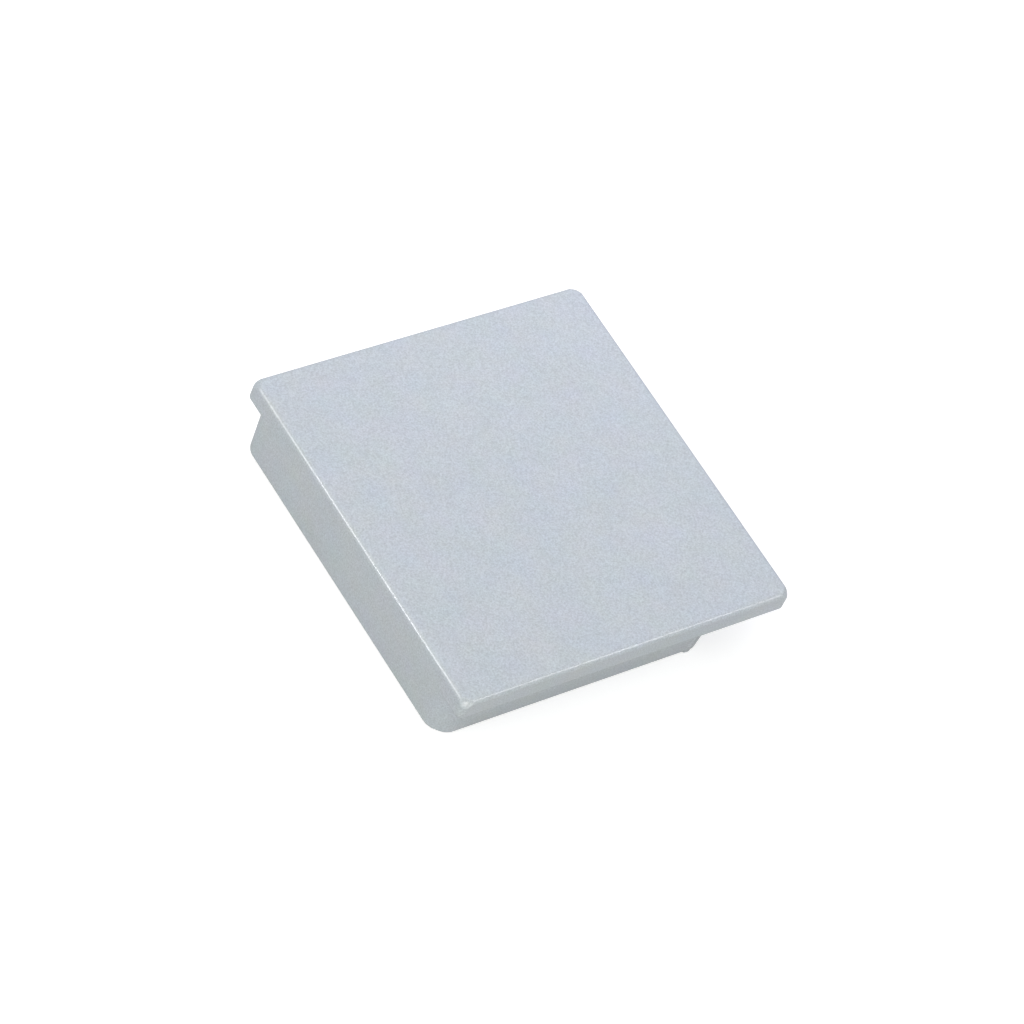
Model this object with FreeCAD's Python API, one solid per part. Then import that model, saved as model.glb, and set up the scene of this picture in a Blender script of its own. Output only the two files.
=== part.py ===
import FreeCAD, Part
import math
import os

# Profile end cap, moulded in one piece. All sizes are in millimetres.
# X runs from the open side of the profile, where the plug is flush with the plate, to its far side.
# Y runs along that open side and Z points up, out of the profile's end.
# The origin is below the middle of the plate, at the level of the plug's rim.

# Plate over the cut end of the profile
plate_width = 38.4
plate_length = 40.0
plate_thickness = 2.5
plate_corner_radius = 0.7
plate_top_edge_radius = 0.6
plate_lower_edge_radius = 0.3

# Ball that rounds each top corner of the plate: depth of its centre below the top and behind each side
corner_ball_depth = 1.4
corner_ball_clearance = 0.03
corner_cut_margin = 1.0

# Profile that the plug goes into: two thin sides, and a wide far side that the plate only covers
profile_side_wall = 1.25
profile_far_wall = 7.1
plug_clearance = 0.05

# Plug below the plate
plug_depth = 5.1
plug_draft_deg = 3.0
plug_corner_chamfer = 1.4
plug_corner_blend = 1.9
plug_far_corner_radius = 1.0
plug_rim_radius = 0.3

# Pocket that cores out the plug
plug_wall = 1.8
pocket_draft_deg = 1.0
pocket_corner_radius = 1.0
pocket_floor_radius = 0.5
pocket_mouth_radius = 0.2

# Crush rib at the far end of each side of the plug, with a square lower end
rib_width = 0.8
rib_bite = 0.05

# A fillet takes at most this share of the wall or radius that it runs on
largest_fillet_share = 0.95
half = 0.5
quarter_turn_deg = 90
chamfer_turn_deg = 45
square_diagonal = math.hypot(1, 1)
edge_tolerance = 1e-4

plug_side_inset = profile_side_wall + plug_clearance
plug_far_inset = profile_far_wall + plug_clearance
rib_height = plug_clearance + rib_bite
# The ball just clears the straight rounded edges, so that it takes off the corner alone
corner_ball_radius = (square_diagonal * (corner_ball_depth - plate_top_edge_radius)
                      + plate_top_edge_radius + corner_ball_clearance)
# Two blends with a radius of this many chamfer legs meet in the middle of a cut corner
blend_per_chamfer = math.sqrt(half) / math.tan(math.radians(chamfer_turn_deg * half))


def limited(radius, *walls):
    """A fillet radius that its narrowest wall has room for."""
    return min(radius, largest_fillet_share * min(walls))


def side_taper(height, draft_deg):
    """How far a drafted side leans over a height."""
    return height * math.tan(math.radians(draft_deg))


def tapered_block(low, high, z_low, z_high):
    """A flat-sided block between two rectangles, each given as x0, x1, y0, y1.

    The wedge is made lying down, with its Y as the height, and is then turned upright.
    """
    wedge = Part.makeWedge(low[0], z_low, -low[3], -high[3], high[0],
                           low[1], z_high, -low[2], -high[2], high[1])
    wedge.rotate(FreeCAD.Vector(0, 0, 0), FreeCAD.Vector(1, 0, 0), quarter_turn_deg)
    return wedge


def upright_edges(shape, x_low=-math.inf, x_high=math.inf):
    """Edges that run from one level to another, with their middle between two X places."""
    found = []
    for edge in shape.Edges:
        start, end = edge.firstVertex().Point, edge.lastVertex().Point
        middle = (start + end) * half
        if abs(start.z - end.z) > edge_tolerance and x_low < middle.x < x_high:
            found.append(edge)
    return found


def level_edges(shape, z):
    """Edges that lie flat at one height."""
    found = []
    for edge in shape.Edges:
        box = edge.BoundBox
        if abs(box.ZMin - z) < edge_tolerance and abs(box.ZMax - z) < edge_tolerance:
            found.append(edge)
    return found


def outside_ball(z_top):
    """What the ball leaves over at the plate's corner near the origin."""
    centre = FreeCAD.Vector(corner_ball_depth, corner_ball_depth, z_top - corner_ball_depth)
    side = corner_ball_depth + corner_cut_margin
    around = Part.makeBox(side, side, side, FreeCAD.Vector(-corner_cut_margin, -corner_cut_margin, centre.z))
    return around.cut(Part.makeSphere(corner_ball_radius, centre))


def four_corners(shape):
    """A shape at one corner of the plate, and its mirror images at the others."""
    middle = FreeCAD.Vector(plate_width * half, plate_length * half, 0)
    pair = [shape, shape.mirror(middle, FreeCAD.Vector(1, 0, 0))]
    return pair + [each.mirror(middle, FreeCAD.Vector(0, 1, 0)) for each in pair]


def plate():
    """The plate, with rounded corners, a small round along its top edge and ball-shaped top corners."""
    z_low = plug_depth
    z_high = plug_depth + plate_thickness
    block = Part.makeBox(plate_width, plate_length, plate_thickness, FreeCAD.Vector(0, 0, z_low))
    block = block.makeFillet(plate_corner_radius, upright_edges(block))
    lower_radius = limited(plate_lower_edge_radius, plate_corner_radius, plate_thickness * half)
    top_radius = limited(plate_top_edge_radius, plate_corner_radius, plate_thickness - lower_radius)
    block = block.makeFillet(top_radius, level_edges(block, z_high))
    block = block.makeFillet(lower_radius, level_edges(block, z_low))
    return block.cut(four_corners(outside_ball(z_high)))


def plug_side_y(z):
    """Y of the plug's front face at a height."""
    return plug_side_inset + side_taper(plug_depth - z, plug_draft_deg)


def plug_far_x(z):
    """X of the plug's far face at a height."""
    return plate_width - plug_far_inset - side_taper(plug_depth - z, plug_draft_deg)


def plug_rectangle(z):
    """Outline of the plug at a height, before its corners are cut."""
    side = plug_side_y(z)
    return 0, plug_far_x(z), side, plate_length - side


def plug_block():
    """The plug: flush and upright on the open side, drafted on the others, with cut corners."""
    z_top = plug_depth + plate_lower_edge_radius
    block = tapered_block(plug_rectangle(0), plug_rectangle(z_top), 0, z_top)
    middle_x = plug_far_x(0) * half
    block = block.makeChamfer(plug_corner_chamfer, upright_edges(block, x_high=middle_x))
    blend_radius = limited(plug_corner_blend, plug_corner_chamfer * blend_per_chamfer)
    block = block.makeFillet(blend_radius, upright_edges(block, x_high=middle_x))
    block = block.makeFillet(plug_far_corner_radius, upright_edges(block, x_low=middle_x))
    rim_radius = limited(plug_rim_radius, plug_far_corner_radius, plug_wall * half)
    return block.makeFillet(rim_radius, level_edges(block, 0))


def pocket():
    """The hollow in the plug, up to the underside of the plate, a little wider at its mouth."""
    x0, x1, y0, y1 = plug_rectangle(0)
    low = (x0 + plug_wall, x1 - plug_wall, y0 + plug_wall, y1 - plug_wall)
    taper = side_taper(plug_depth, pocket_draft_deg)
    high = (low[0] + taper, low[1] - taper, low[2] + taper, low[3] - taper)
    block = tapered_block(low, high, 0, plug_depth)
    block = block.makeFillet(pocket_corner_radius, upright_edges(block))
    floor_radius = limited(pocket_floor_radius, pocket_corner_radius)
    return block.makeFillet(floor_radius, level_edges(block, plug_depth))


def mouth_edges(solid):
    """Edges of the pocket's mouth: level with the rim and well inside the plug's outline."""
    x0, x1, y0, y1 = plug_rectangle(0)
    margin = plug_wall * half
    found = []
    for edge in level_edges(solid, 0):
        box = edge.BoundBox
        inside_x = box.XMin > x0 + margin and box.XMax < x1 - margin
        inside_y = box.YMin > y0 + margin and box.YMax < y1 - margin
        if inside_x and inside_y:
            found.append(edge)
    return found


def rib_section(z, root_depth):
    """Outline of the front rib at a height: a low crown on the plug's face."""
    face_y = plug_side_y(z)
    x_far = plug_far_x(z) - plug_far_corner_radius
    x_near = x_far - rib_width
    near = FreeCAD.Vector(x_near, face_y, z)
    crown = FreeCAD.Vector((x_near + x_far) * half, face_y - rib_height, z)
    far = FreeCAD.Vector(x_far, face_y, z)
    root_far = FreeCAD.Vector(x_far, face_y + root_depth, z)
    root_near = FreeCAD.Vector(x_near, face_y + root_depth, z)
    front = Part.Arc(near, crown, far).toShape()
    rest = [Part.makeLine(far, root_far), Part.makeLine(root_far, root_near), Part.makeLine(root_near, near)]
    return Part.Wire([front] + rest)


def ribs():
    """The crush rib on the front face of the plug, and its mirror image on the back face."""
    root_depth = plug_wall * half
    front = Part.makeLoft([rib_section(0, root_depth), rib_section(plug_depth, root_depth)], True, True)
    middle = FreeCAD.Vector(0, plate_length * half, 0)
    back = front.mirror(middle, FreeCAD.Vector(0, 1, 0))
    return [front, back]


def end_cap():
    """The whole moulding, moved so that its origin is under the middle of the plate."""
    solid = plate().fuse([plug_block()] + ribs()).cut(pocket()).removeSplitter()
    mouth_radius = limited(pocket_mouth_radius, pocket_corner_radius, plug_wall * half)
    solid = solid.makeFillet(mouth_radius, mouth_edges(solid))
    solid.translate(FreeCAD.Vector(-plate_width * half, -plate_length * half, 0))
    return solid.Solids[0]


os.makedirs("parts", exist_ok=True)
end_cap().exportStep("parts/end_cap.step")
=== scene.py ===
import math

import bpy
from mathutils import Matrix, Vector


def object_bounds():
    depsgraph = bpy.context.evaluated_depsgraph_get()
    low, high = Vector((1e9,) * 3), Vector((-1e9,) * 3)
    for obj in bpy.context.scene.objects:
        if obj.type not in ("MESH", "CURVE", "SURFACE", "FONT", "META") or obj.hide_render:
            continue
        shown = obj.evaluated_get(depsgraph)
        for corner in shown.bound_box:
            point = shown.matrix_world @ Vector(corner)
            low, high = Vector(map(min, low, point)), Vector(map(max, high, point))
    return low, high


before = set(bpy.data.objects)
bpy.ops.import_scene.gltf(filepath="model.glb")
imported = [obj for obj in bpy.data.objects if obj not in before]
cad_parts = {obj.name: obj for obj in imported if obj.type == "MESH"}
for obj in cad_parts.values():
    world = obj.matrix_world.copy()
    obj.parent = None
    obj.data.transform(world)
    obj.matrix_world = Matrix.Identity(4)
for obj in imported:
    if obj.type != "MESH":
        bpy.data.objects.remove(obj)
cad_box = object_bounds()

MM = 0.001
CENTRE_TOP = Vector((0, 0, cad_box[1].z))

# Camera: where it aims on the plane of the top face, from where, its lens and sensor in millimetres,
# and the nearest and farthest that it shows, in metres
AIM = Vector((-2.835, -2.255, 7.6)) * MM
CAMERA_AZIMUTH = -52.097
CAMERA_ELEVATION = 48.295
CAMERA_ROLL = 26.036
CAMERA_DISTANCE = 446.85 * MM
LENS = 165.821
SENSOR = 36
NEAREST = 0.01
FARTHEST = 20

# Room light, and the colours of the lamps
ROOM = (0.95, 0.965, 1.02)
ROOM_STRENGTH = 0.55
COOL = (0.985, 0.98, 1.17)
WARM = (1.0, 0.99, 0.86)
WARMER = (1.0, 0.985, 0.8)
NEUTRAL = (1.0, 1.0, 1.03)
CORNER_WARM = (1.0, 0.89, 0.83)

# Softboxes: angles in degrees, and distance, width and height in metres
BACK_SOFTBOX = dict(azimuth=142, elevation=48.5, distance=0.1, width=0.11, height=0.11,
                    radiance=0.76, colour=COOL)
LEFT_SOFTBOX = dict(azimuth=-95, elevation=45, distance=1.0, width=0.9, height=0.9,
                    radiance=1.68, colour=WARM)
FRONT_SOFTBOX = dict(azimuth=0, elevation=12, distance=1.0, width=0.9, height=0.6,
                     radiance=1.70, colour=WARMER)

# Narrow lamps that draw the bright lines in the rounded edges: the roll lays each line along its edge
LEFT_EDGE_LAMP = dict(azimuth=-115.2, elevation=20, distance=0.8, width=0.06, height=0.25,
                      radiance=28, colour=NEUTRAL, roll=16.2)
FRONT_EDGE_LAMP = dict(azimuth=38.3, elevation=32.2, distance=0.8, width=0.06, height=0.2,
                       radiance=18, colour=NEUTRAL, roll=-16.2)

# Wide lamp that draws the light patch in the ball-shaped corner that faces the camera
CORNER_LAMP = dict(azimuth=-41, elevation=17, distance=1.0, width=0.5, height=0.5,
                   radiance=4.4, colour=CORNER_WARM)

# Floor: the colour that lights the part, the white that only the camera sees on top of it, and how far
# the floor reaches from the middle, in metres
FLOOR_COLOUR = (0.6, 0.6, 0.6)
FLOOR_WHITE = 0.64
FLOOR_REACH = 3.0

# Satin plastic: its colour, and how matt its flat top and how smooth its edges and sides are, with the
# depths below the top between which the one turns into the other
PLASTIC = (0.562, 0.607, 0.655)
TOP_ROUGHNESS = 0.65
EDGE_ROUGHNESS = 0.22
MATT_BEGINS = 0.08 * MM
MATT_FULL = 0.02 * MM

# Noise in the plastic, in waves per metre: the fine peel of the moulded skin, its speckle, its faint
# patches of other colours, with a share for each channel, and the slow drift of its tone
PEEL_SCALE = 4800
PEEL_DETAIL = 1
PEEL_HEIGHT = 0.007 * MM
SPECKLE_SCALE = 6000
SPECKLE_DETAIL = 1
SPECKLE = 0.28
PATCH_SCALE = 330
PATCH_DETAIL = 3
PATCH = (0.048, 0.03, 0.068)
DRIFT_SCALE = 150
DRIFT_DETAIL = 2
DRIFT = 0.025


def direction(azimuth, elevation):
    """Unit vector towards a place seen from the object, by the angles that the views use."""
    a, e = math.radians(azimuth), math.radians(elevation)
    return Vector((math.sin(a) * math.cos(e), -math.cos(a) * math.cos(e), math.sin(e)))


def facing(towards, roll=0.0):
    """Rotation of a camera or lamp that looks back along a direction, turned about its own axis."""
    straight = (-towards).to_track_quat("-Z", "Y").to_matrix()
    return (straight @ Matrix.Rotation(math.radians(roll), 3, "Z")).to_4x4()


def link(obj):
    """Puts an object in the scene."""
    bpy.context.scene.collection.objects.link(obj)
    return obj


def camera():
    """The camera, from the photograph's viewing angle."""
    data = bpy.data.cameras.new("camera")
    data.lens = LENS
    data.sensor_width = SENSOR
    data.clip_start = NEAREST
    data.clip_end = FARTHEST
    obj = link(bpy.data.objects.new("camera", data))
    towards = direction(CAMERA_AZIMUTH, CAMERA_ELEVATION)
    obj.matrix_world = Matrix.Translation(AIM + towards * CAMERA_DISTANCE) @ facing(towards, CAMERA_ROLL)
    bpy.context.scene.camera = obj


def softbox(name, azimuth, elevation, distance, width, height, radiance, colour, roll=0.0):
    """A lamp that faces the part: its radiance is what a surface that mirrors it would show."""
    towards = direction(azimuth, elevation)
    data = bpy.data.lights.new(name, "AREA")
    data.shape = "RECTANGLE"
    data.size = width
    data.size_y = height
    data.color = colour
    data.energy = radiance * math.pi * width * height
    obj = link(bpy.data.objects.new(name, data))
    obj.matrix_world = Matrix.Translation(CENTRE_TOP + towards * distance) @ facing(towards, roll)
    return obj


def highlight(name, **placing):
    """A lamp that only shows as a bright line or patch where a smooth surface mirrors it."""
    softbox(name, **placing).visible_diffuse = False


def lamps():
    """All the lamps, each aimed at the middle of the top."""
    softbox("back_softbox", **BACK_SOFTBOX)
    softbox("left_softbox", **LEFT_SOFTBOX)
    softbox("front_softbox", **FRONT_SOFTBOX)
    highlight("left_edge_lamp", **LEFT_EDGE_LAMP)
    highlight("front_edge_lamp", **FRONT_EDGE_LAMP)
    highlight("corner_lamp", **CORNER_LAMP)


def room():
    """Soft light from all around."""
    world = bpy.data.worlds.new("world")
    bpy.context.scene.world = world
    world.use_nodes = True
    light = world.node_tree.nodes["Background"]
    light.inputs["Color"].default_value = (*ROOM, 1)
    light.inputs["Strength"].default_value = ROOM_STRENGTH


def floor_material():
    """A grey that lights the part, with white added on top of it for the camera alone."""
    mat = bpy.data.materials.new("floor")
    mat.use_nodes = True
    nt = mat.node_tree
    nt.nodes.clear()
    out = nt.nodes.new("ShaderNodeOutputMaterial")
    grey = nt.nodes.new("ShaderNodeBsdfDiffuse")
    grey.inputs["Color"].default_value = (*FLOOR_COLOUR, 1)
    white = nt.nodes.new("ShaderNodeEmission")
    both = nt.nodes.new("ShaderNodeAddShader")
    path = nt.nodes.new("ShaderNodeLightPath")
    strength = nt.nodes.new("ShaderNodeMath")
    strength.operation = "MULTIPLY"
    strength.inputs[1].default_value = FLOOR_WHITE
    nt.links.new(path.outputs["Is Camera Ray"], strength.inputs[0])
    nt.links.new(strength.outputs[0], white.inputs["Strength"])
    nt.links.new(grey.outputs[0], both.inputs[0])
    nt.links.new(white.outputs[0], both.inputs[1])
    nt.links.new(both.outputs[0], out.inputs["Surface"])
    return mat


def floor():
    """A plain floor below the part."""
    mesh = bpy.data.meshes.new("floor")
    r = FLOOR_REACH
    mesh.from_pydata([(-r, -r, 0), (r, -r, 0), (r, r, 0), (-r, r, 0)], [], [(0, 1, 2, 3)])
    obj = link(bpy.data.objects.new("floor", mesh))
    obj.data.materials.append(floor_material())


def noise(nt, place, scale, detail):
    """A noise texture: its factor and the channels of its colour stay around a half."""
    node = nt.nodes.new("ShaderNodeTexNoise")
    node.inputs["Scale"].default_value = scale
    node.inputs["Detail"].default_value = detail
    nt.links.new(place, node.inputs["Vector"])
    return node.outputs


def around_one(nt, factor, spread):
    """A factor of 0 to 1, turned into a tone from one less the spread to one plus it."""
    node = nt.nodes.new("ShaderNodeMapRange")
    node.inputs["To Min"].default_value = 1 - spread
    node.inputs["To Max"].default_value = 1 + spread
    nt.links.new(factor, node.inputs["Value"])
    return node.outputs["Result"]


def patchy(nt, place, colour):
    """The colour, with each of its channels a little stronger in some places than in others."""
    node = nt.nodes.new("ShaderNodeVectorMath")
    node.operation = "MULTIPLY_ADD"
    nt.links.new(noise(nt, place, PATCH_SCALE, PATCH_DETAIL)["Color"], node.inputs[0])
    node.inputs[1].default_value = [2 * spread * c for c, spread in zip(colour, PATCH)]
    node.inputs[2].default_value = [(1 - spread) * c for c, spread in zip(colour, PATCH)]
    return node.outputs["Vector"]


def scaled(nt, colour, tone):
    """A colour, made lighter or darker by a tone."""
    node = nt.nodes.new("ShaderNodeVectorMath")
    node.operation = "SCALE"
    nt.links.new(colour, node.inputs["Vector"])
    nt.links.new(tone, node.inputs["Scale"])
    return node.outputs["Vector"]


def bump(nt, height, depth):
    """A surface that rises and falls with a height of 0 to 1."""
    node = nt.nodes.new("ShaderNodeBump")
    node.inputs["Strength"].default_value = 1
    node.inputs["Distance"].default_value = depth
    nt.links.new(height, node.inputs["Height"])
    return node.outputs["Normal"]


def roughness(nt, place):
    """Matt on the flat top, and smoother from a little below it."""
    split = nt.nodes.new("ShaderNodeSeparateXYZ")
    nt.links.new(place, split.inputs["Vector"])
    node = nt.nodes.new("ShaderNodeMapRange")
    node.inputs["From Min"].default_value = CENTRE_TOP.z - MATT_BEGINS
    node.inputs["From Max"].default_value = CENTRE_TOP.z - MATT_FULL
    node.inputs["To Min"].default_value = EDGE_ROUGHNESS
    node.inputs["To Max"].default_value = TOP_ROUGHNESS
    nt.links.new(split.outputs["Z"], node.inputs["Value"])
    return node.outputs["Result"]


def plastic():
    """Silver-grey satin plastic with a fine orange peel."""
    mat = bpy.data.materials.new("silver_grey_plastic")
    mat.use_nodes = True
    nt = mat.node_tree
    bsdf = nt.nodes["Principled BSDF"]
    place = nt.nodes.new("ShaderNodeTexCoord").outputs["Object"]
    drift = around_one(nt, noise(nt, place, DRIFT_SCALE, DRIFT_DETAIL)["Fac"], DRIFT)
    speckle = around_one(nt, noise(nt, place, SPECKLE_SCALE, SPECKLE_DETAIL)["Fac"], SPECKLE)
    colour = scaled(nt, scaled(nt, patchy(nt, place, PLASTIC), drift), speckle)
    nt.links.new(colour, bsdf.inputs["Base Color"])
    peel = noise(nt, place, PEEL_SCALE, PEEL_DETAIL)["Fac"]
    nt.links.new(bump(nt, peel, PEEL_HEIGHT), bsdf.inputs["Normal"])
    nt.links.new(roughness(nt, place), bsdf.inputs["Roughness"])
    return mat


camera()
room()
floor()
lamps()
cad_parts["end_cap"].material_slots[0].material = plastic()
bpy.context.scene.view_settings.view_transform = "Standard"
